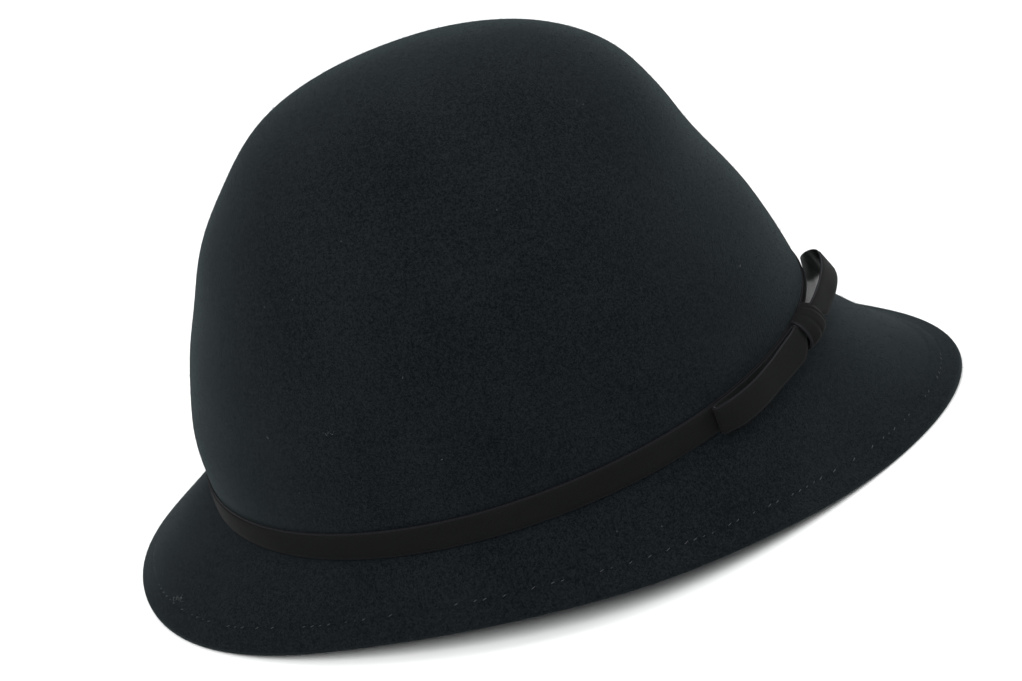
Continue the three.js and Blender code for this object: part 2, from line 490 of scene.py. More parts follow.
def lint_group() -> bpy.types.ShaderNodeTree:
    """Builds the group for the few specks of dust that dark cloth holds.

    Returns:
        The group, with Vector, Color and Dust in, and Color out.
    """
    sheet, give, take = new_group(
        "dust specks",
        {
            "Vector": ("NodeSocketVector", None),
            "Color": ("NodeSocketColor", (0.01, 0.01, 0.01, 1)),
            "Dust": ("NodeSocketColor", (0.1, 0.11, 0.12, 1)),
        },
        {"Color": "NodeSocketColor"},
    )
    cells = sheet.add("ShaderNodeTexVoronoi", Vector=give["Vector"], Scale=1 / (7 * MM), Randomness=1.0)
    reach = sheet.add("ShaderNodeSeparateColor", Color=cells.outputs["Color"]).outputs[0]
    size = sheet.maths("MULTIPLY", reach, 0.045)
    near = sheet.maths("LESS_THAN", cells.outputs["Distance"], size)
    few = sheet.maths("GREATER_THAN", reach, 0.72)
    mask = sheet.maths("MULTIPLY", sheet.maths("MULTIPLY", near, few), 0.6)
    sheet.feed(take["Color"], sheet.mix(mask, give["Color"], give["Dust"]))
    return sheet.tree


@dataclass
class Groups:
    """The node groups that more than one finish uses."""

    fibre: bpy.types.ShaderNodeTree = field(default_factory=fibre_group)
    weave: bpy.types.ShaderNodeTree = field(default_factory=weave_group)
    lint: bpy.types.ShaderNodeTree = field(default_factory=lint_group)


def new_material(name: str, viewport: Colour) -> tuple[bpy.types.Material, NodeSheet, bpy.types.Node]:
    """Starts a material with a Principled BSDF alone.

    Args:
        name: The material's name.
        viewport: Its plain display colour.

    Returns:
        The material, its node sheet and its shader.
    """
    material = bpy.data.materials.new(name)
    material.use_nodes = True
    material.diffuse_color = (*viewport, 1)
    sheet = NodeSheet(material.node_tree)
    shader = next(node for node in material.node_tree.nodes if node.type == "BSDF_PRINCIPLED")
    return material, sheet, shader


@dataclass(frozen=True)
class FeltFinish:
    """Matt wool felt with a short nap, a stitched groove at the hem with painted shade in it, and a little
    dust.
    """

    dark: Colour = (0.0010, 0.0016, 0.0023)
    light: Colour = (0.0064, 0.0080, 0.0093)
    dust: Colour = (0.03, 0.034, 0.038)
    sheen: float = 0.072
    sheen_tint: Colour = (0.45, 0.61, 0.63)
    relief: float = 0.7
    relief_depth: float = 0.34 * MM
    groove_depth: float = 0.12 * MM
    groove_width: float = 0.8 * MM

    def material(self, groups: Groups, hem: float) -> bpy.types.Material:
        """Builds the felt.

        Args:
            groups: The shared node groups.
            hem: Distance of the stitched line from the rim.

        Returns:
            The material.
        """
        material, sheet, shader = new_material("wool felt", self.light)
        at = sheet.add("ShaderNodeTexCoord").outputs["Object"]
        fibre = sheet.group(groups.fibre, Vector=at, Grain=1.0, Dark=self.dark, Light=self.light)
        dust = sheet.group(groups.lint, Vector=at, Color=fibre.outputs["Color"], Dust=self.dust)
        from_rim = sheet.add("ShaderNodeAttribute", {"attribute_name": "from_rim"}).outputs["Fac"]
        off = sheet.maths("DIVIDE", sheet.maths("SUBTRACT", from_rim, hem), self.groove_width)
        groove = sheet.maths("EXPONENT", sheet.maths("MULTIPLY", sheet.maths("MULTIPLY", off, off), -1.0))
        # The felt's colour is darkened a little along the stitched groove: painted shade in the groove.
        painted_groove_shade_colour = sheet.mix(sheet.maths("MULTIPLY", groove, 0.2), dust.outputs["Color"], self.dark)
        sheet.feed(shader.inputs["Base Color"], painted_groove_shade_colour)
        shader.inputs["Roughness"].default_value = 0.95
        shader.inputs["Specular IOR Level"].default_value = 0.05
        shader.inputs["Sheen Weight"].default_value = self.sheen
        shader.inputs["Sheen Roughness"].default_value = 0.42
        shader.inputs["Sheen Tint"].default_value = (*self.sheen_tint, 1)
        depth = sheet.maths("MULTIPLY", fibre.outputs["Height"], self.relief_depth)
        depth = sheet.maths("MULTIPLY_ADD", groove, -self.groove_depth, depth)
        sheet.feed(shader.inputs["Normal"], sheet.bump(depth, self.relief))
        return material


@dataclass(frozen=True)
class VelvetFinish:
    """Black velvet ribbon: deep pile, and a fine woven edge that catches the light, darkened on a strip's
    lower edge as painted shade.
    """

    pile: Colour = (0.0024, 0.0025, 0.0024)
    pile_light: Colour = (0.0048, 0.0050, 0.0049)
    edge: Colour = (0.0042, 0.0042, 0.0052)
    edge_light: Colour = (0.0092, 0.0092, 0.0110)
    sheen: float = 0.07
    sheen_tint: Colour = (0.42, 0.42, 0.44)
    grain: float = 2.2
    pitch: float = 0.45 * MM
    pile_depth: float = 0.12 * MM
    edge_depth: float = 0.08 * MM

    def material(self, groups: Groups) -> bpy.types.Material:
        """Builds the velvet.

        Args:
            groups: The shared node groups.

        Returns:
            The material.
        """
        material, sheet, shader = new_material("velvet ribbon", self.pile)
        strip = sheet.add("ShaderNodeUVMap", {"uv_map": "strip"}).outputs["UV"]
        fibre = sheet.group(groups.fibre, Vector=strip, Grain=self.grain)
        sheet.feed(fibre.inputs["Dark"], self.pile)
        sheet.feed(fibre.inputs["Light"], self.pile_light)
        weave = sheet.group(groups.weave, Vector=strip, Pitch=self.pitch)
        sheet.feed(weave.inputs["Dark"], self.edge)
        sheet.feed(weave.inputs["Light"], self.edge_light)
        # The pile share sets colour and roughness; on a strip's lower woven edge it is partly painted shade.
        pile = sheet.add("ShaderNodeAttribute", {"attribute_name": "pile"}).outputs["Fac"]
        share = sheet.spread(pile, 0.35, 0.65)
        colour = sheet.mix(share, weave.outputs["Color"], fibre.outputs["Color"])
        sheet.feed(shader.inputs["Base Color"], colour)
        sheet.feed(shader.inputs["Roughness"], sheet.maths("MULTIPLY_ADD", share, 0.35, 0.55))
        shader.inputs["Specular IOR Level"].default_value = 0.06
        shader.inputs["Sheen Weight"].default_value = self.sheen
        shader.inputs["Sheen Roughness"].default_value = 0.3
        shader.inputs["Sheen Tint"].default_value = (*self.sheen_tint, 1)
        depth = sheet.maths("MULTIPLY", fibre.outputs["Height"], self.pile_depth)
        depth = sheet.maths("MULTIPLY_ADD", weave.outputs["Height"], self.edge_depth, depth)
        sheet.feed(shader.inputs["Normal"], sheet.bump(depth, 0.5))
        return material


@dataclass(frozen=True)
class SatinFinish:
    """Smooth satin back of the ribbon, which shows inside the loops."""

    dark: Colour = (0.0035, 0.0038, 0.0038)
    light: Colour = (0.0100, 0.0108, 0.0108)
    pitch: float = 0.3 * MM
    depth: float = 0.05 * MM

    def material(self, groups: Groups) -> bpy.types.Material:
        """Builds the satin.

        Args:
            groups: The shared node groups.

        Returns:
            The material.
        """
        material, sheet, shader = new_material("satin back", self.light)
        strip = sheet.add("ShaderNodeUVMap", {"uv_map": "strip"}).outputs["UV"]
        weave = sheet.group(groups.weave, Vector=strip, Pitch=self.pitch, Dark=self.dark, Light=self.light)
        sheet.feed(shader.inputs["Base Color"], weave.outputs["Color"])
        shader.inputs["Roughness"].default_value = 0.36
        shader.inputs["Specular IOR Level"].default_value = 0.42
        shader.inputs["Anisotropic"].default_value = 0.5
        depth = sheet.maths("MULTIPLY", weave.outputs["Height"], self.depth)
        sheet.feed(shader.inputs["Normal"], sheet.bump(depth, 0.4))
        return material


@dataclass(frozen=True)
class ThreadFinish:
    """Twisted sewing thread, a shade lighter than the felt."""

    dark: Colour = (0.0040, 0.0052, 0.0060)
    light: Colour = (0.0100, 0.0120, 0.0135)
    grain: float = 2.5
    depth: float = 0.1 * MM

    def material(self, groups: Groups) -> bpy.types.Material:
        """Builds the thread.

        Args:
            groups: The shared node groups.

        Returns:
            The material.
        """
        material, sheet, shader = new_material("sewing thread", self.light)
        at = sheet.add("ShaderNodeTexCoord").outputs["Object"]
        fibre = sheet.group(groups.fibre, Vector=at, Grain=self.grain, Dark=self.dark, Light=self.light)
        sheet.feed(shader.inputs["Base Color"], fibre.outputs["Color"])
        shader.inputs["Roughness"].default_value = 0.6
        depth = sheet.maths("MULTIPLY", fibre.outputs["Height"], self.depth)
        sheet.feed(shader.inputs["Normal"], sheet.bump(depth, 0.4))
        return material


@dataclass(frozen=True)
class PaleSurface:
    """Plain pale floor."""

    colour: Colour = (0.70, 0.705, 0.70)

    def material(self) -> bpy.types.Material:
        """Builds the floor's matt surface.

        Returns:
            The material.
        """
        material, sheet, shader = new_material("pale surface", self.colour)
        at = sheet.add("ShaderNodeTexCoord").outputs["Object"]
        cloud = sheet.noise(at, 400 * MM, 1)
        lighter = tuple(min(part + 0.01, 1.0) for part in self.colour)
        sheet.feed(shader.inputs["Base Color"], sheet.mix(cloud, self.colour, lighter))
        shader.inputs["Roughness"].default_value = 0.9
        return material


# Geometry that the pieces share


def closed_curve(points: np.ndarray, steps: int) -> np.ndarray:
    """Runs a smooth closed curve through points.

    Args:
        points: The points, one to a row.
        steps: How many points the curve gets.

    Returns:
        The curve's points.
    """
    count = len(points)
    place = np.arange(steps) * count / steps
    at = place.astype(int)
    share = (place - at)[:, None]
    before, here, there, after = (points[(at + shift) % count] for shift in (-1, 0, 1, 2))
    return 0.5 * (
        2 * here
        + (there - before) * share
        + (2 * before - 5 * here + 4 * there - after) * share**2
        + (3 * here - before - 3 * there + after) * share**3
    )


def rim_curve(piece: bpy.types.Object, columns: int = 128, steps: int = 1024) -> np.ndarray:
    """Finds the outer edge of the brim.

    Args:
        piece: The felt.
        columns: Sectors round the head, each of which gives one point of the edge.
        steps: How many points the edge gets.

    Returns:
        The edge's points, from the front by the wearer's right.
    """
    places = np.empty(len(piece.data.vertices) * 3)
    piece.data.vertices.foreach_get("co", places)
    places = places.reshape(-1, 3)
    turn = np.arctan2(-places[:, 0], -places[:, 1]) % math.tau
    sector = (turn / math.tau * columns).astype(int) % columns
    reach = np.hypot(places[:, 0], places[:, 1])
    sectors = [np.flatnonzero(sector == column) for column in range(columns)]
    edge = np.array([own[reach[own].argmax()] for own in sectors])
    # The furthest points of two neighbouring sectors can almost coincide, so the edge is read at even turns
    even = np.arange(columns) * math.tau / columns
    out = np.interp(even, turn[edge], reach[edge], period=math.tau)
    height = np.interp(even, turn[edge], places[edge, 2], period=math.tau)
    return closed_curve(np.stack([-np.sin(even) * out, -np.cos(even) * out, height], axis=1), steps)


class RibbonLine:
    """The ribbon's way round the crown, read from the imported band.

    A point is given by its distance along the ribbon from the front centre, positive to the wearer's right,
    its rise above the lower edge and how far it stands proud of the ribbon's face.
    """

    def __init__(self, node: str, steps: int = 2048) -> None:
        """Reads the band's four corner lines and refines them.

        Args:
            node: The band's node.
            steps: How many places the refined lines have.
        """
        points = {tuple(round(part, 6) for part in v.co) for v in frame["nodes"][node].data.vertices}
        count = len(points) // 4
        half = math.pi / count
        ordered = sorted(points, key=lambda p: (math.atan2(-p[0], -p[1]) + half) % (2 * math.pi))
        low, high = [], []
        for column in range(count):
            corners = sorted(ordered[4 * column : 4 * column + 4], key=lambda p: p[2])
            low.append(max(corners[:2], key=lambda p: math.hypot(p[0], p[1])))
            high.append(max(corners[2:], key=lambda p: math.hypot(p[0], p[1])))
        self.low = closed_curve(np.array(low), steps)
        self.high = closed_curve(np.array(high), steps)
        middle = (self.low + self.high) / 2
        strides = np.linalg.norm(np.roll(middle, -1, axis=0) - middle, axis=1)
        self.travelled = np.concatenate([[0.0], np.cumsum(strides)])
        self.length = float(self.travelled[-1])
        self.width = float(np.linalg.norm(self.high - self.low, axis=1).mean())

    def _read(self, line: np.ndarray, along: float) -> Vector:
        """Reads one edge line at a distance along the ribbon."""
        wrapped = along % self.length
        index = int(np.searchsorted(self.travelled, wrapped, side="right")) - 1
        index = min(index, len(line) - 1)
        stride = self.travelled[index + 1] - self.travelled[index]
        share = (wrapped - self.travelled[index]) / stride
        here, there = Vector(line[index]), Vector(line[(index + 1) % len(line)])
        return here.lerp(there, share)

    def axes(self, along: float) -> tuple[Vector, Vector, Vector]:
        """Gives the directions along the ribbon, up it and out of it.

        Args:
            along: Distance along the ribbon.

        Returns:
            Three unit directions.
        """
        reach = 1.5 * MM
        way = self._read(self.low, along + reach) - self._read(self.low, along - reach)
        up = (self._read(self.high, along) - self._read(self.low, along)).normalized()
        out = up.cross(way).normalized()
        centre_way = Vector((self._read(self.low, along).x, self._read(self.low, along).y, 0))
        if out.dot(centre_way) < 0:
            out = -out
        return way.normalized(), up, out

    def point(self, along: float, rise: float, proud: float) -> Vector:
        """Gives a point on or off the ribbon.

        Args:
            along: Distance along the ribbon from the front centre.
            rise: Height above the ribbon's lower edge.
            proud: Distance out from the ribbon's face.

        Returns:
            The point.
        """
        low, high = self._read(self.low, along), self._read(self.high, along)
        _, _, out = self.axes(along)
        return low + (high - low) * (rise / self.width) + out * proud

    def along_of(self, place: Vector) -> float:
        """Finds the distance along the ribbon that lies nearest to a point.

        Args:
            place: The point.

        Returns:
            The distance along the ribbon.
        """
        middle = (self.low + self.high) / 2
        nearest = int(np.linalg.norm(middle - np.array(place), axis=1).argmin())
        return float(self.travelled[nearest])


class Skin:
    """The felt's finished surface, for what is laid or sewn on it."""

    def __init__(self, piece: bpy.types.Object) -> None:
        """Reads the surface of a finished piece."""
        self.mesh = piece.data
        built = bmesh.new()
        built.from_mesh(self.mesh)
        self.tree = BVHTree.FromBMesh(built)
        built.free()

    def below(self, x: float, y: float) -> tuple[Vector, Vector]:
        """Drops a plumb line on the hat.

        Args:
            x: Place across.
            y: Place along.

        Returns:
            The point that it meets first and the surface's direction there.
        """
        place, normal, _, _ = self.tree.ray_cast(Vector((x, y, 1.0)), Vector((0, 0, -1)))
        return place, normal

    def beside(self, turn: float, height: float) -> tuple[Vector, Vector]:
        """Looks level at the hat from outside.

        Args:
            turn: Degrees from the front to the wearer's right.
            height: Height of the look.

        Returns:
            The point that it meets first and the surface's direction there.
        """
        way = Vector((-math.sin(math.radians(turn)), -math.cos(math.radians(turn)), 0))
        place, normal, _, _ = self.tree.ray_cast(way + Vector((0, 0, height)), -way)
        return place, normal


@dataclass
class HemLine:
    """The line round the brim where the turned hem is stitched."""

    skin: Skin
    rim: np.ndarray
    hem: float
    columns: int = 256
    stride: float = 0.4 * MM
    smoothing: int = 3
    longest_walk: int = 60

    def __post_init__(self) -> None:
        """Walks in from the rim over the felt at each place round the head."""
        picked = self.rim[:: len(self.rim) // self.columns]
        after, before = np.roll(picked, -1, axis=0), np.roll(picked, 1, axis=0)
        self.points: list[Vector] = []
        self.normals: list[Vector] = []
        for place, way in zip(picked, after - before):
            inward = Vector((way[1], -way[0], 0)).normalized()
            if inward.dot(Vector((place[0], place[1], 0))) > 0:
                inward = -inward
            self._walk(Vector(place), inward)
        for _ in range(self.smoothing):
            self.points = self._eased(self.points)
        self._settle()

    def _walk(self, start: Vector, inward: Vector) -> None:
        """Walks up the brim from the rim to the hem's line.

        Args:
            start: The rim's place.
            inward: The level way in.
        """
        last, last_normal, travelled = start, Vector((0, 0, 1)), 0.0
        for step in range(1, self.longest_walk):
            at = start + inward * (step * self.stride)
            place, normal = self.skin.below(at.x, at.y)
            if place is None:
                continue
            travelled += (place - last).length
            last, last_normal = place, normal
            if travelled >= self.hem:
                break
        self.points.append(last)
        self.normals.append(last_normal)

    @staticmethod
    def _eased(points: list[Vector]) -> list[Vector]:
        """Evens out a closed line by one step."""
        count = len(points)
        return [(points[i - 1] + 2 * points[i] + points[(i + 1) % count]) / 4 for i in range(count)]

    def _settle(self) -> None:
        """Drops the evened line back on the felt."""
        settled = [self.skin.below(point.x, point.y) for point in self.points]
        self.points = [place for place, _ in settled]
        self.normals = [normal for _, normal in settled]


@dataclass
class FeltBody:
    """Crown and brim, blocked in one piece of felt, with the rim turned under as a hem."""

    node: str = "felt_body"
    refine: int = 2
    stitched: float = 7.5 * MM
    uneven: float = 0.2 * MM
    uneven_size: float = 55 * MM
    # Hand-blocked swells: degrees from the front to the wearer's right, height, swell outward, rise,
    # reach round in degrees and reach up, lengths in millimetres
    swells: Sequence[Row] = (
        (178, 50, 1.2, 0, 26, 14),
        (180, 93, -1.2, 0, 28, 14),
        (190, 124, -0.6, 0, 24, 10),
        (200, 142, 0.9, 0, 22, 9),
        (217, 149, -0.3, 0, 30, 8),
        (322, 151, -0.4, 0, 30, 8),
        (341, 135, 0.3, 0, 20, 8),
        (351, 126, -0.9, 0, 22, 9),
        (353, 113, -0.6, 0, 22, 9),
        (356, 72, -0.6, 0, 24, 11),
        (3, 47, 0.9, 0, 24, 12),
        (3, 1, 0.9, 0, 9, 12),
        (24, 1, -2.6, 0, 17, 12),
        (58, 5, 0, 0.9, 20, 12),
        (130, 3, 0, 1.3, 20, 12),
        (160, 1, 0.5, 0, 9, 10),
        (180, 1, -0.9, 0, 14, 10),
        (198, 12, 0, -2.0, 16, 9),
        (341, 3, -1.2, -1.6, 12, 8),
        (330, 17, 1.0, 3.0, 16, 9),
    )
    swell_centre: float = 70 * MM
    finish: FeltFinish = field(default_factory=FeltFinish)

    def build(self, groups: Groups) -> bpy.types.Object:
        """Refines the blocked shell and dresses it.

        Args:
            groups: The shared node groups.

        Returns:
            The felt.
        """
        piece = copy_of_node("felt_shell", self.node)
        refine_through(piece, self.refine)
        self._swell(piece)
        self._unevenness(piece)
        shade_smooth(piece, 80)
        self._mark_hem(piece)
        piece.data.materials.append(self.finish.material(groups, self.stitched))
        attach(piece, BODY)
        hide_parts(self.node)
        return piece

    def _swell(self, piece: bpy.types.Object) -> None:
        """Pushes the felt out or in a little where it was blocked by hand.

        Args:
            piece: The felt.
        """
        places = np.empty(len(piece.data.vertices) * 3)
        piece.data.vertices.foreach_get("co", places)
        places = places.reshape(-1, 3)
        turn = np.degrees(np.arctan2(-places[:, 0], -places[:, 1]))
        ways = places - np.array([0, 0, 1]) * np.minimum(places[:, 2:], self.swell_centre)
        ways /= np.linalg.norm(ways, axis=1, keepdims=True)
        moved = places.copy()
        for place, height, swell, rise, round_reach, up_reach in self.swells:
            away = (turn - place + 180) % 360 - 180
            above = places[:, 2] / MM - height
            share = np.exp(-((away / round_reach) ** 2) - (above / up_reach) ** 2)[:, None]
            moved += share * (ways * swell + np.array([0, 0, rise])) * MM
        moved[:, 2] = np.maximum(moved[:, 2], np.clip(places[:, 2], 0, 0.2 * MM))
        piece.data.vertices.foreach_set("co", moved.ravel())
        piece.data.update()

    def _unevenness(self, piece: bpy.types.Object) -> None:
        """Gives the surface the slight swell of hand-blocked felt, none at all where it stands.

        Args:
            piece: The felt.
        """
        clouds = bpy.data.textures.new("felt swell", "CLOUDS")
        clouds.noise_scale = self.uneven_size
        clouds.noise_depth = 1
        free = piece.vertex_groups.new(name="free")
        lowest = 6 * MM
        for vertex in piece.data.vertices:
            free.add([vertex.index], smooth_step((vertex.co.z - 1 * MM) / lowest), "REPLACE")
        swell = piece.modifiers.new("swell", "DISPLACE")
        swell.texture = clouds
        swell.texture_coords = "LOCAL"
        swell.strength = 2 * self.uneven
        swell.vertex_group = free.name
        apply_modifiers(piece)
        piece.vertex_groups.clear()

    def _mark_hem(self, piece: bpy.types.Object) -> None:
        """Stores each point's distance from the rim, which places the stitched groove and its painted shade.

        Args:
            piece: The felt.
        """
        rim = rim_curve(piece)
        edge = KDTree(len(rim))
        for index, place in enumerate(rim):
            edge.insert(place, index)
        edge.balance()
        set_attribute(piece, "from_rim", [edge.find(vertex.co)[2] for vertex in piece.data.vertices])


@dataclass
class HemStitching:
    """Running stitches that hold the turned hem."""

    line: HemLine
    pitch: float = 3.1 * MM
    length: float = 2.2 * MM
    slant: float = 22
    thick: float = 0.30 * MM
    shallowest: float = 0.02 * MM
    deepest: float = 0.19 * MM
    seed: int = 5
    finish: ThreadFinish = field(default_factory=ThreadFinish)

    def build(self, groups: Groups) -> bpy.types.Object:
        """Models one stitch and sews it all round.

        Args:
            groups: The shared node groups.

        Returns:
            The stitches, joined.
        """
        sample = self._stitch()
        points = self.line.points
        strides = [(points[(i + 1) % len(points)] - points[i]).length for i in range(len(points))]
        total = sum(strides)
        count = round(total / self.pitch)
        sunk = np.random.default_rng(self.seed).uniform(self.shallowest, self.deepest, count)
        copies = [self._place(strides, total * index / count, sunk[index]) for index in range(count)]
        vertices, faces = [], []
        base = [v.co.copy() for v in sample.data.vertices]
        polygons = [tuple(p.vertices) for p in sample.data.polygons]
        for place in copies:
            first = len(vertices)
            vertices.extend(place @ point for point in base)
            faces.extend(tuple(first + corner for corner in face) for face in polygons)
        bpy.data.objects.remove(sample)
        piece = object_from("hem_stitches", vertices, faces)
        shade_smooth(piece)
        piece.data.materials.append(self.finish.material(groups))
        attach(piece, BODY)
        return piece

    def _stitch(self) -> bpy.types.Object:
        """Models a stitch as a short bar whose ends dip into the felt.

        Returns:
            The stitch, lying along X.
        """
        bpy.ops.mesh.primitive_uv_sphere_add(segments=8, ring_count=6, radius=0.5, location=(0, 0, 0))
        stitch = bpy.context.active_object
        bpy.ops.object.mode_set(mode="EDIT")
        bpy.ops.mesh.select_all(action="SELECT")
        bpy.ops.transform.rotate(value=math.pi / 2, orient_axis="Y", center_override=(0, 0, 0))
        bpy.ops.transform.resize(value=(self.length, self.thick, self.thick))
        bpy.ops.object.mode_set(mode="OBJECT")
        for vertex in stitch.data.vertices:
            share = abs(vertex.co.x) / (self.length / 2)
            vertex.co.z -= self.thick * 0.6 * share**3
        return stitch

    def _place(self, strides: list[float], travelled: float, sunk: float) -> Matrix:
        """Finds where a stitch lies.

        Args:
            strides: Lengths of the hem line's steps.
            travelled: Distance along the line.
            sunk: How deep the stitch is drawn into the felt.

        Returns:
            The turn and move that lay a stitch there.
        """
        index = 0
        while travelled > strides[index]:
            travelled -= strides[index]
            index += 1
        points, normals = self.line.points, self.line.normals
        after = (index + 1) % len(points)
        share = travelled / strides[index]
        place = points[index].lerp(points[after], share)
        out = normals[index].lerp(normals[after], share).normalized()
        way = (points[after] - points[index]).normalized()
        across = out.cross(way).normalized()
        way = Matrix.Rotation(math.radians(self.slant), 3, out) @ across.cross(out)
        across = out.cross(way)
        place = place - out * sunk
        turn = Matrix((way, across, out)).transposed().to_4x4()
        return Matrix.Translation(place) @ turn


@dataclass
class Nap:
    """Short loose fibres that stand off the felt and soften its outline."""

    shell: bpy.types.Object
    count: int = 15000
    shortest: float = 0.7 * MM
    longest: float = 1.7 * MM
    lowest: float = 1.5 * MM
    thick: float = 0.055 * MM
    seed: int = 11

    def build(self, material: bpy.types.Material) -> bpy.types.Object:
        """Scatters the fibres over the outside of the felt.

        Args:
            material: The felt's own finish.

        Returns:
            The fibres, joined.
        """
        draw = np.random.default_rng(self.seed)
        roots, normals = self._roots(draw)
        ways = draw.normal(size=roots.shape)
        ways -= normals * (ways * normals).sum(axis=1, keepdims=True)
        ways /= np.linalg.norm(ways, axis=1, keepdims=True)
        lengths = draw.uniform(self.shortest, self.longest, len(roots))[:, None]
        lift = draw.uniform(0.25, 0.8, len(roots))[:, None]
        side = np.cross(normals, ways)
        curl = draw.uniform(-0.5, 0.5, len(roots))[:, None]
        middle = roots + lengths * 0.5 * (ways + normals * lift)
        tip = roots + lengths * (ways + side * curl + normals * lift * 0.75)
        points = []
        for centre, radius in ((roots - normals * 0.1 * MM, self.thick / 2), (middle, self.thick / 2.6)):
            for turn in range(3):
                angle = 2 * math.pi * turn / 3
                points.append(centre + radius * (side * math.cos(angle) + normals * math.sin(angle)))
        points.append(tip)
        vertices = np.stack(points, axis=1).reshape(-1, 3)
        pattern = [(0, 2, 1)]
        for turn in range(3):
            after = (turn + 1) % 3
            pattern += [(turn, after, after + 3), (turn, after + 3, turn + 3), (turn + 3, after + 3, 6)]
        faces = (np.array(pattern)[None] + 7 * np.arange(len(roots))[:, None, None]).reshape(-1, 3)
        piece = object_from("felt_nap", vertices.tolist(), faces.tolist())
        set_attribute(piece, "from_rim", np.full(len(vertices), 1.0))
        piece.data.materials.append(material)
        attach(piece, BODY)
        return piece

    def _roots(self, draw: np.random.Generator) -> tuple[np.ndarray, np.ndarray]:
        """Chooses where the fibres grow, evenly over the outside.

        Args:
            draw: The seeded source of chance.

        Returns:
            The fibres' feet and the surface's directions there.
        """
        mesh = self.shell.data
        count = len(mesh.polygons)
        centres, normals = np.zeros(count * 3), np.zeros(count * 3)
        areas = np.zeros(count)
        mesh.polygons.foreach_get("center", centres)
        mesh.polygons.foreach_get("normal", normals)
        mesh.polygons.foreach_get("area", areas)
        centres, normals = centres.reshape(-1, 3), normals.reshape(-1, 3)
        under = np.array([0.0, 0.0, -0.2])
        outside = ((centres - under) * normals).sum(axis=1) > 0
        outside &= centres[:, 2] > self.lowest
        weights = np.where(outside, areas, 0)
        chosen = draw.choice(count, size=self.count, p=weights / weights.sum())
        spread = np.sqrt(areas[chosen])[:, None] * draw.uniform(-0.5, 0.5, (self.count, 3))
        spread -= normals[chosen] * (spread * normals[chosen]).sum(axis=1, keepdims=True)
        return centres[chosen] + spread, normals[chosen]


@dataclass
class LooseFibres:
    """A few pale fibres caught on the felt and a tuft where the hem's thread ends."""

    skin: Skin
    # Degrees from the front to the wearer's right, height, length, curl, lift and turn of the fibre,
    # lengths in millimetres and the turn in degrees
    rows: Sequence[Row] = (
        (130.6, 73.2, 4.6, 0.8, 0.2, 8),
        (109.7, 61.2, 0.9, 0.2, 0.1, 40),
        (144.8, 69.9, 1.1, 0.3, 0.1, -30),
        (113.7, 88.6, 0.8, 0.2, 0.1, 70),
        (32.0, 76.9, 1.2, 0.3, 0.1, 15),
        (165.2, 8.8, 3.6, 0.9, 0.9, 20),
        (165.8, 8.4, 2.8, 0.7, 1.2, 75),
        (164.6, 9.2, 3.0, 0.8, 0.7, -35),
    )
    thick: float = 0.16 * MM
    steps: int = 16
    sides: int = 5
    finish: ThreadFinish = ThreadFinish((0.014, 0.016, 0.017), (0.034, 0.038, 0.041))

    def build(self, groups: Groups) -> bpy.types.Object:
        """Lays every fibre.

        Args:
            groups: The shared node groups.

        Returns:
            The fibres, joined.
        """
        points, faces = [], []
        for turn, height, length, curl, lift, spin in self.rows:
            path = self._path(turn, height * MM, length * MM, curl * MM, lift * MM, spin)
            first = len(points)
            points.extend(self._tube(path))
            for step in range(self.steps):
                for side in range(self.sides):
                    here = first + step * self.sides
                    after = (side + 1) % self.sides
                    there = here + self.sides
                    faces.append((here + side, here + after, there + after, there + side))
            faces.append(tuple(first + side for side in range(self.sides)))
            faces.append(tuple(first + self.steps * self.sides + side for side in range(self.sides)))
        piece = object_from("loose_fibres", points, faces)
        shade_smooth(piece)
        piece.data.materials.append(self.finish.material(groups))
        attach(piece, BODY)
        return piece

    def _path(
        self,
        turn: float,
        height: float,
        length: float,
        curl: float,
        lift: float,
        spin: float,
    ) -> list[Vector]:
        """Gives the line that a fibre follows.

        Args:
            turn: Degrees from the front to the wearer's right.
            height: Height of its middle.
            length: Its length.
            curl: How far it winds to each side.
            lift: How far its middle stands off the felt.
            spin: Degrees that it is turned from level.

        Returns:
            The points of the line.
        """
        place, out = self.skin.beside(turn, height)
        level = Vector((0, 0, 1)).cross(out).normalized()
        way = Matrix.Rotation(math.radians(spin), 3, out) @ level
        across = out.cross(way)
        line = []
        for step in range(self.steps + 1):
            share = step / self.steps
            aside = curl * math.sin(2.4 * math.tau * share) * (1 - 0.4 * share)
            off = self.thick / 2 + lift * math.sin(math.pi * share)
            line.append(place + way * (length * (share - 0.5)) + across * aside + out * off)
        return line

    def _tube(self, path: list[Vector]) -> list[Vector]:
        """Wraps rings round a line, thinner towards its ends.

        Args:
            path: The line.

        Returns:
            The rings' points, ring after ring.
        """
        points = []
        for step, place in enumerate(path):
            way = (path[min(step + 1, self.steps)] - path[max(step - 1, 0)]).normalized()
            side = way.orthogonal().normalized()
            up = way.cross(side)
            share = step / self.steps
            radius = self.thick / 2 * (0.35 + 0.65 * math.sin(math.pi * share))
            for corner in range(self.sides):
                angle = math.tau * corner / self.sides
                points.append(place + (side * math.cos(angle) + up * math.sin(angle)) * radius)
        return points


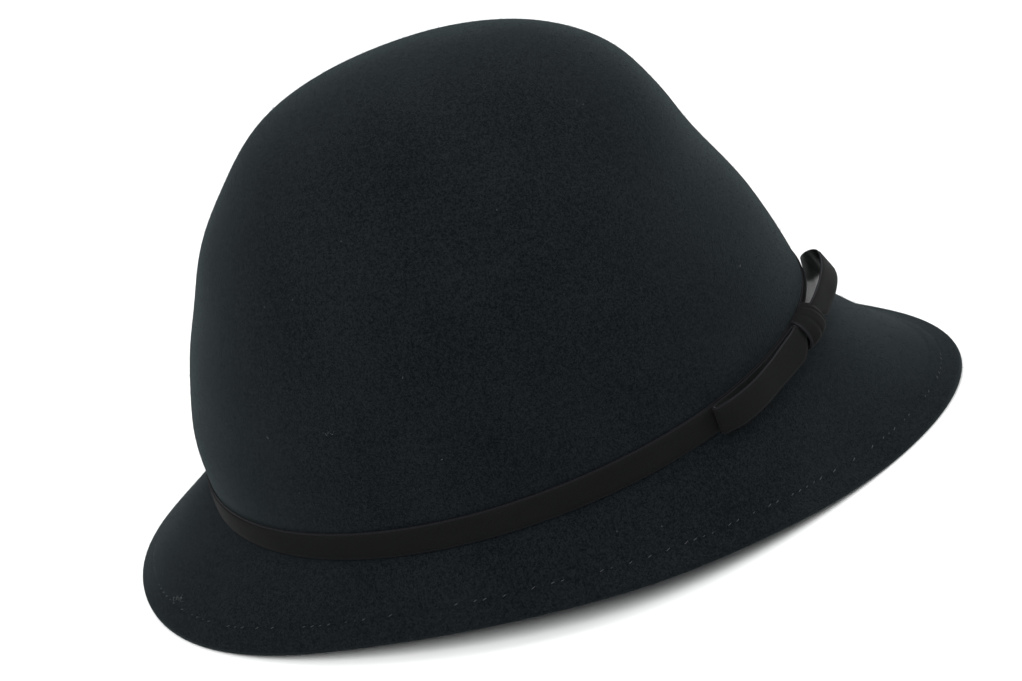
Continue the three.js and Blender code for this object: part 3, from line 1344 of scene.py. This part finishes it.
@dataclass
class Strip:
    """A ribbon laid along a path: velvet face, plain back and a woven edge at each side, the lower one given
    part of the pile's colour as painted shade.
    """

    width: float
    thick: float = 0.8 * MM
    edge_width: float = 0.5 * MM
    edge_thick: float = 0.4 * MM
    # The lower woven edge takes this share of the pile's darker colour: painted shade on the edge that faces
    # down.
    low_edge_painted_shade_pile: float = 0.52

    def profile(self) -> list[tuple[float, float, float]]:
        """Gives the cross-section, from the middle of the back round by the lower edge.

        Returns:
            Share across the width, depth from the back and share of pile, for each corner.
        """
        inset = self.edge_width / self.width
        lip = (inset * 0.12, self.edge_thick)
        edge = [(0.0, self.edge_thick * 0.5), lip, (inset, self.edge_thick * 0.95)]
        face = [(inset * 1.25, self.thick * 0.72), (inset * 2.0, self.thick * 0.95), (0.25, self.thick)]
        back = [(0.5, 0.0), (0.25, 0.0), (inset, 0.0), (inset * 0.12, 0.0)]
        # The lower edge's corners are partly pile-coloured, as painted shade; the upper edge stays plain.
        low = [(*corner, 0.0) for corner in back] + [(*corner, self.low_edge_painted_shade_pile) for corner in edge]
        low += [(*corner, 1.0) for corner in face]
        high = [(1 - share, depth, 1.0) for share, depth in reversed(face)]
        high += [(1 - share, depth, 0.0) for share, depth in reversed(edge)]
        high += [(1 - share, depth, 0.0) for share, depth in reversed(back[1:])]
        return low + [(0.5, self.thick, 1.0)] + high

    def lay(
        self,
        name: str,
        path: Callable[[float, float], tuple[Vector, Vector]],
        length: float,
        steps: int,
        closed: bool,
    ) -> bpy.types.Object:
        """Lays the ribbon.

        Args:
            name: The piece's name.
            path: Gives the back's point and the way out of the face, from shares along and across.
            length: The ribbon's length, for its map.
            steps: How many places along it are modelled.
            closed: Whether its end meets its start.

        Returns:
            The ribbon.
        """
        profile = self.profile()
        ring = len(profile)
        points, pile, maps = [], [], []
        places = steps if closed else steps + 1
        for step in range(places):
            share = step / steps
            for across, depth, fur in profile:
                back, out = path(share, across)
                points.append(back + out * depth)
                pile.append(fur)
                maps.append((share * length, across * self.width))
        faces = []
        for step in range(steps):
            for corner in range(ring):
                after = (corner + 1) % ring
                here, there = step * ring, ((step + 1) % places) * ring
                faces.append((here + corner, here + after, there + after, there + corner))
        if not closed:
            faces.append(tuple(reversed(range(ring))))
            faces.append(tuple((places - 1) * ring + corner for corner in range(ring)))
        piece = object_from(name, points, faces)
        set_attribute(piece, "pile", pile)
        self._map(piece, maps, length if closed else 0.0)
        shade_smooth(piece, 50)
        return piece

    @staticmethod
    def _map(piece: bpy.types.Object, maps: list[tuple[float, float]], wrap: float) -> None:
        """Stores the strip's own map, in metres.

        Args:
            piece: The ribbon.
            maps: Each point's place along and across.
            wrap: Length of a closed strip, whose last faces return to its start, or 0.
        """
        layer = piece.data.uv_layers.new(name="strip")
        for polygon in piece.data.polygons:
            places = [maps[piece.data.loops[index].vertex_index] for index in polygon.loop_indices]
            far = max(place[0] for place in places)
            for index, (along, across) in zip(polygon.loop_indices, places):
                if wrap and far - along > wrap / 2:
                    along += wrap
                layer.data[index].uv = (along, across)


@dataclass
class RibbonBand:
    """The velvet ribbon round the foot of the crown."""

    line: RibbonLine
    node: str = "ribbon_band"
    steps: int = 420
    thick: float = 0.85 * MM
    gape: float = 0.12 * MM
    goods_width: float = 10 * MM
    finish: VelvetFinish = field(default_factory=VelvetFinish)

    def build(self, groups: Groups) -> bpy.types.Object:
        """Lays the ribbon round the crown.

        Args:
            groups: The shared node groups.

        Returns:
            The ribbon.
        """
        strip = Strip(self.line.width, self.thick)

        def path(share: float, across: float) -> tuple[Vector, Vector]:
            """Gives the back's point and the way out of the face."""
            along = share * self.line.length
            _, _, out = self.line.axes(along)
            wave = math.sin(3 * math.tau * share + 0.4) + 0.6 * math.sin(7 * math.tau * share + 1.9)
            off = -self.thick + self.gape * wave * across
            return self.line.point(along, across * self.line.width, off), out

        piece = strip.lay("velvet_band", path, self.line.length, self.steps, True)
        piece.data.materials.append(self.finish.material(groups))
        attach(piece, BODY)
        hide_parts(self.node)
        return piece


class Side(Enum):
    """Which way a loop lies from the knot, along the ribbon."""

    RIGHT = 1
    LEFT = -1


@dataclass
class BowLoop:
    """One loop of the bow: a strip that runs out, turns at its end fold and comes back over itself."""

    name: str
    node: str
    side: Side
    line: RibbonLine
    middle: float
    start: float
    reach: float
    fold: float
    # Share of the way from the knot to the fold, then millimetres that the back layer's lower and
    # upper edge and the front layer's lower and upper edge stand off the ribbon
    rows: Sequence[Row]
    steps: int = 90
    thick: float = 0.7 * MM
    seat: float = 0.15 * MM
    gather: float = 10 * MM
    gathered: float = 0.55
    goods_width: float = 10 * MM

    def _layer(self, share: float, across: float, front: bool) -> float:
        """Reads how far a layer stands off the ribbon.

        Args:
            share: Share of the way from the knot to the fold.
            across: Share of the ribbon's width.
            front: Whether the front layer is read.

        Returns:
            The distance in metres.
        """
        first = 3 if front else 1
        low = along_rows(self.rows, share, first)
        high = along_rows(self.rows, share, first + 1)
        return (low + (high - low) * across) * MM

    def _centre(self, share: float, across: float) -> tuple[float, float]:
        """Follows the strip from the knot, round the fold and back.

        Args:
            share: Share of the strip's length.
            across: Share of its width.

        Returns:
            Distance from the bow's middle and distance off the ribbon.
        """
        straight = self.reach - self.start - self.fold
        bend = math.pi * self.fold
        total = 2 * straight + bend
        travelled = share * total
        if travelled < straight:
            part = travelled / straight
            return self.start + travelled, self._layer(part, across, False)
        if travelled > straight + bend:
            left = total - travelled
            return self.start + left, self._layer(left / straight, across, True)
        turn = (travelled - straight) / bend * math.pi
        back, front = self._layer(1, across, False), self._layer(1, across, True)
        off = (back + front) / 2 - (front - back) / 2 * math.cos(turn)
        return self.reach - self.fold + self.fold * math.sin(turn), off

    def _point(self, share: float, across: float) -> Vector:
        """Gives the strip's back at shares along and across."""
        away, off = self._centre(share, across)
        along = self.middle + self.side.value * away
        drawn = 1 - smooth_step((away - self.start) / self.gather)
        rise = (across + self.gathered * drawn * (1 - across)) * self.line.width
        return self.line.point(along, rise, off + self.seat)

    def build(self, velvet: bpy.types.Material, satin: bpy.types.Material) -> bpy.types.Object:
        """Folds the loop.

        Args:
            velvet: Finish of the ribbon's face.
            satin: Finish of its back.

        Returns:
            The loop.
        """
        length = 2 * (self.reach - self.start)
        strip = Strip(self.line.width, self.thick)

        def path(share: float, across: float) -> tuple[Vector, Vector]:
            """Gives the back's point and the way out of the face."""
            step = 0.004
            here = self._point(share, across)
            way = self._point(min(share + step, 1), across) - self._point(max(share - step, 0), across)
            up = self._point(share, min(across + 0.05, 1)) - self._point(share, max(across - 0.05, 0))
            out = up.cross(way).normalized() * self.side.value
            return here, -out

        piece = strip.lay(self.name, path, length, self.steps, False)
        piece.data.materials.append(velvet)
        piece.data.materials.append(satin)
        ring = len(strip.profile())
        for index, polygon in enumerate(piece.data.polygons):
            corner = index % ring
            polygon.material_index = 1 if corner in (0, 1, 2, ring - 1, ring - 2, ring - 3) else 0
        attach(piece, BODY)
        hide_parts(self.node)
        return piece


@dataclass
class Knot:
    """The short wrap of ribbon drawn over the middle of the bow."""

    line: RibbonLine
    middle: float
    node: str = "bow_knot"
    near: float = 8.0 * MM
    far: float = 6.0 * MM
    # Share of the way from the lower edge over to the upper edge, then rise and distance off the
    # ribbon in millimetres, and share of the full width
    rows: Sequence[Row] = (
        (0.0, -0.5, 0.3, 0.80),
        (0.12, -0.5, 3.2, 0.88),
        (0.28, 0.8, 6.2, 0.96),
        (0.45, 3.2, 7.6, 1.0),
        (0.62, 6.4, 7.0, 1.0),
        (0.78, 9.2, 4.9, 0.97),
        (0.9, 10.4, 2.4, 0.90),
        (1.0, 10.5, 0.3, 0.82),
    )
    creases: tuple[float, ...] = (0.3, 0.66)
    crease_depth: float = 0.35 * MM
    goods: tuple[float, float] = (14 * MM, 21 * MM)
    map_length: float = 22 * MM
    thick: float = 0.75 * MM
    steps: int = 44
    across_steps: int = 30

    def _top(self, share: float, across: float) -> Vector:
        """Gives a point of the wrap's face at shares over it and across it."""
        rise = along_rows(self.rows, share, 1) * MM
        off = along_rows(self.rows, share, 2) * MM
        width = along_rows(self.rows, share, 3)
        signed = 2 * across - 1
        reach = self.near if signed > 0 else self.far
        rounding = 1 - 0.30 * abs(signed) ** 3
        dip = sum(math.exp(-(((across - place) / 0.05) ** 2)) for place in self.creases)
        dip *= self.crease_depth * smooth_step(off / (3 * MM))
        out = off * rounding - dip
        return self.line.point(self.middle + signed * reach * width, rise, out)

    def build(self, velvet: bpy.types.Material) -> bpy.types.Object:
        """Wraps the knot.

        Args:
            velvet: Finish of the ribbon's face.

        Returns:
            The knot.
        """
        rows, columns = self.steps + 1, self.across_steps + 1
        tops, pile, maps = [], [], []
        for row in range(rows):
            for column in range(columns):
                share, across = row / self.steps, column / self.across_steps
                tops.append(self._top(share, across))
                at_edge = column in (0, 1, self.across_steps - 1, self.across_steps)
                pile.append(0.0 if at_edge else 1.0)
                maps.append((share * self.map_length, across * self.line.width))
        faces = []
        for row in range(self.steps):
            for column in range(self.across_steps):
                first = row * columns + column
                faces.append((first, first + 1, first + columns + 1, first + columns))
        piece = object_from("bow_wrap", tops, faces)
        set_attribute(piece, "pile", pile)
        layer = piece.data.uv_layers.new(name="strip")
        for polygon in piece.data.polygons:
            for index in polygon.loop_indices:
                layer.data[index].uv = maps[piece.data.loops[index].vertex_index]
        centre = self.line.point(self.middle, self.line.width / 2, 0)
        outward = sum(((p.center - centre).dot(p.normal) for p in piece.data.polygons))
        if outward < 0:
            piece.data.flip_normals()
        wall = piece.modifiers.new("wall", "SOLIDIFY")
        wall.thickness = self.thick
        wall.offset = -1
        apply_modifiers(piece)
        add_subdivision(piece, 1)
        shade_smooth(piece, 60)
        piece.data.materials.append(velvet)
        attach(piece, BODY)
        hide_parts(self.node)
        return piece


@dataclass
class Bow:
    """Two loops and a knot, sewn flat to the ribbon right of the front."""

    line: RibbonLine
    right_rows: Sequence[Row] = (
        (0.0, 0.8, 0.8, 2.4, 1.6),
        (0.12, 0.8, 0.8, 4.2, 1.6),
        (0.30, 0.7, 0.7, 3.8, 1.5),
        (0.50, 0.7, 0.7, 3.6, 2.4),
        (0.72, 0.7, 0.8, 4.7, 3.4),
        (0.90, 0.7, 0.8, 4.6, 3.3),
        (1.0, 0.8, 0.9, 2.8, 2.6),
    )
    left_rows: Sequence[Row] = (
        (0.0, 1.8, 1.8, 4.0, 3.0),
        (0.22, 1.7, 1.3, 4.9, 3.8),
        (0.45, 2.2, 0.9, 5.9, 4.8),
        (0.68, 3.0, 0.5, 7.8, 5.9),
        (0.88, 3.9, 0.4, 9.2, 6.5),
        (1.0, 4.7, 0.7, 9.6, 6.5),
    )

    def build(self, groups: Groups) -> list[bpy.types.Object]:
        """Folds both loops and wraps the knot.

        Args:
            groups: The shared node groups.

        Returns:
            The right loop, the left loop and the knot.
        """
        low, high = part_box("bow_knot")
        middle = self.line.along_of((low + high) / 2)
        velvet = VelvetFinish().material(groups)
        satin = SatinFinish().material(groups)
        right = BowLoop(
            name="bow_right_loop",
            node="bow_loop_right",
            side=Side.RIGHT,
            line=self.line,
            middle=middle,
            start=4 * MM,
            reach=54 * MM,
            fold=1.6 * MM,
            rows=self.right_rows,
        )
        left = BowLoop(
            name="bow_left_loop",
            node="bow_loop_left",
            side=Side.LEFT,
            line=self.line,
            middle=middle,
            start=3 * MM,
            reach=39.5 * MM,
            fold=3.0 * MM,
            rows=self.left_rows,
        )
        return [right.build(velvet, satin), left.build(velvet, satin), Knot(self.line, middle).build(velvet)]


@dataclass(frozen=True)
class Studio:
    """Pale floor, soft light and the camera at the photograph's angle."""

    elevation: float = 26.98
    roll: float = -15.88
    distance: float = 0.89168
    focal_pixels: float = 2600
    picture_width: int = 1022
    sensor: float = 36.0
    side_step: float = 7.66 * MM
    up_step: float = -44.10 * MM
    aim_y: float = 5.509 * MM
    floor_size: float = 12.0
    sky: Colour = (0.90, 0.93, 0.95)
    sky_strength: float = 0.6

    def camera(self) -> None:
        """Sets up the camera as seen from the wearer's right, above and slightly rolled."""
        tilt, turn = math.radians(self.elevation), math.radians(self.roll)
        right = Vector((0, -1, 0))
        up = Vector((math.sin(tilt), 0, math.cos(tilt)))
        back = Vector((-math.cos(tilt), 0, math.sin(tilt)))
        across = right * math.cos(turn) + up * math.sin(turn)
        upright = -right * math.sin(turn) + up * math.cos(turn)
        place = back * self.distance - across * self.side_step - upright * self.up_step
        place += Vector((0, self.aim_y, 0))
        lens = bpy.data.cameras.new("camera")
        lens.sensor_fit = "HORIZONTAL"
        lens.sensor_width = self.sensor
        lens.lens = self.focal_pixels / self.picture_width * self.sensor
        lens.clip_start = 0.01
        camera = bpy.data.objects.new("camera", lens)
        turned = Matrix((across, upright, back)).transposed().to_4x4()
        camera.matrix_world = Matrix.Translation(place) @ turned
        bpy.context.scene.collection.objects.link(camera)
        bpy.context.scene.camera = camera

    def floor(self) -> None:
        """Lays the pale floor."""
        bpy.ops.object.select_all(action="DESELECT")
        bpy.ops.mesh.primitive_plane_add(size=self.floor_size, location=(0, 0, 0))
        floor = bpy.context.active_object
        floor.name = "floor"
        floor.data.materials.append(PaleSurface().material())

    def light(self) -> None:
        """Hangs the soft lights."""
        world = bpy.data.worlds.new("pale sky")
        world.use_nodes = True
        sky = world.node_tree.nodes["Background"]
        sky.inputs["Color"].default_value = (*self.sky, 1)
        sky.inputs["Strength"].default_value = self.sky_strength
        bpy.context.scene.world = world
        self._panel("front panel", (0.2, -1.3, 0.75), (0, -0.02, 0.06), 0.9, 16)
        self._panel("top panel", (0.3, 0.2, 1.6), (0, 0, 0.05), 1.2, 12)
        self._panel("side panel", (-0.85, 0.25, 1.1), (0, 0, 0.03), 1.0, 22)
        self._panel("back panel", (0.35, 1.3, 0.7), (0, 0.05, 0.05), 0.8, 3)

    @staticmethod
    def _panel(name: str, place: Row, aim: Row, size: float, power: float) -> None:
        """Hangs one soft panel.

        Args:
            name: The panel's name.
            place: Where it hangs.
            aim: The point that it faces.
            size: Its side.
            power: Its light in watts.
        """
        data = bpy.data.lights.new(name, "AREA")
        data.size = size
        data.energy = power
        panel = bpy.data.objects.new(name, data)
        panel.location = place
        panel.rotation_euler = (Vector(place) - Vector(aim)).to_track_quat("Z", "Y").to_euler()
        bpy.context.scene.collection.objects.link(panel)


def main() -> None:
    """Builds the hat in order and reports each piece."""
    logging.basicConfig(level=logging.INFO, format="%(message)s")
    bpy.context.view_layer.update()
    bpy.context.scene.view_settings.view_transform = "Standard"
    studio = Studio()
    studio.camera()
    studio.floor()
    studio.light()
    groups = Groups()
    body = FeltBody()
    felt = body.build(groups)
    pieces = [felt]
    skin = Skin(felt)
    pieces.append(HemStitching(HemLine(skin, rim_curve(felt), body.stitched)).build(groups))
    pieces.append(Nap(felt).build(felt.data.materials[0]))
    pieces.append(LooseFibres(skin).build(groups))
    line = RibbonLine("ribbon_band")
    pieces.append(RibbonBand(line).build(groups))
    pieces.extend(Bow(line).build(groups))
    for piece in pieces:
        LOG.info("%s: %d faces", piece.name, len(piece.data.polygons))


if __name__ == "__main__":
    main()
